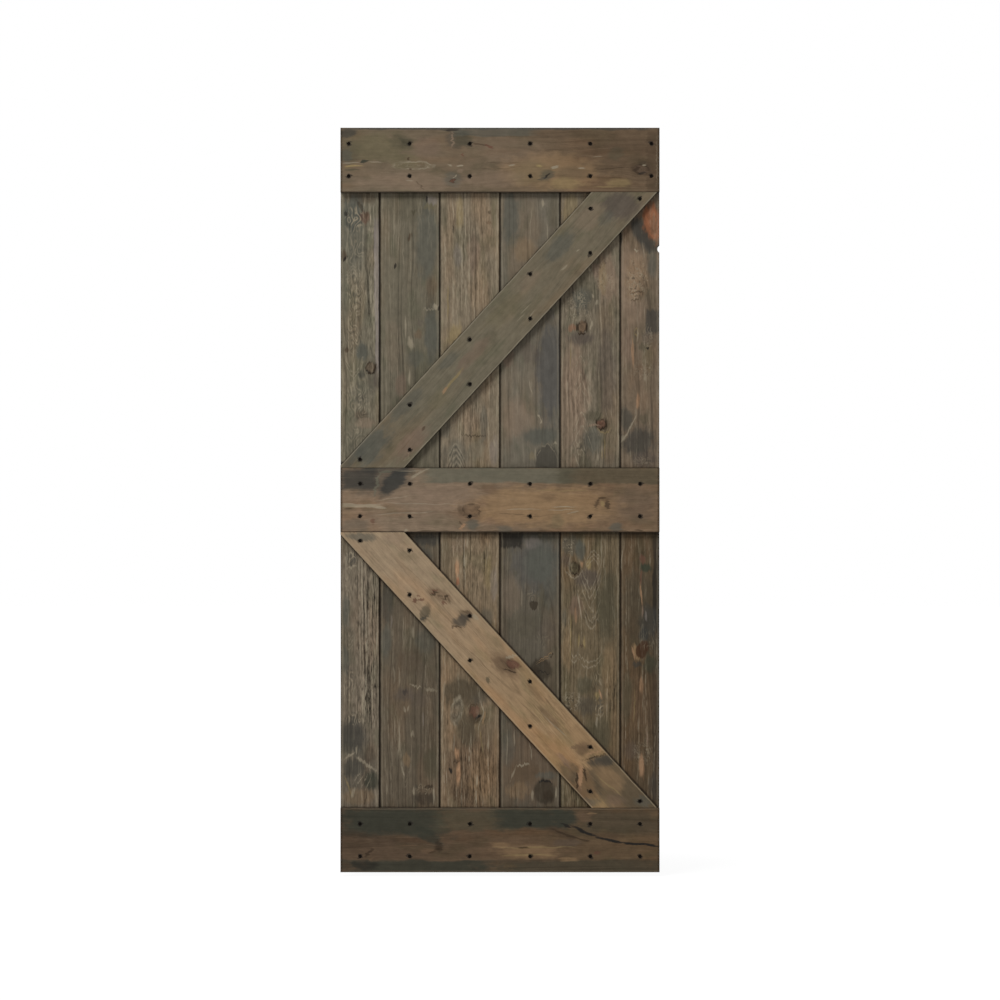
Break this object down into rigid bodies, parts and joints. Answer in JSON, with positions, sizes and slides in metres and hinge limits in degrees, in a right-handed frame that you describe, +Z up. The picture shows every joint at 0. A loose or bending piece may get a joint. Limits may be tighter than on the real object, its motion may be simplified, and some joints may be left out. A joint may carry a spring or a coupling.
{
  "type": "barn door",
  "caption": "Plank barn door slab with cross rails and a K brace on its front, held by countersunk screws, to hang on a sliding track.",
  "frame": {"origin": "middle of the top rail's upper edge, halfway through the rail's thickness", "axes": "+X to the right seen from the braced front, +Y from the front through to the back, +Z up"},
  "size_m": [0.9144, 0.035, 2.1336],
  "materials": {
    "planks": "wire-brushed, weathered grey-brown softwood with knots",
    "rails": "weathered brown softwood with grey stain",
    "braces": "weathered tan softwood with grey stain",
    "screws": "black phosphate, matt"
  },
  "bodies": {
    "root": {"left_plank": "planks", "plank_2": "planks", "plank_3": "planks", "plank_4": "planks", "plank_5": "planks", "right_plank": "planks", "top_rail": "rails", "middle_rail": "rails", "bottom_rail": "rails", "upper_brace": "braces", "lower_brace": "braces", "top_rail_upper_screws": "screws", "top_rail_lower_screws": "screws", "middle_rail_upper_screws": "screws", "middle_rail_lower_screws": "screws", "bottom_rail_upper_screws": "screws", "bottom_rail_lower_screws": "screws", "upper_brace_upper_screws": "screws", "upper_brace_lower_screws": "screws", "lower_brace_upper_screws": "screws", "lower_brace_lower_screws": "screws"}
  },
  "joints": []
}
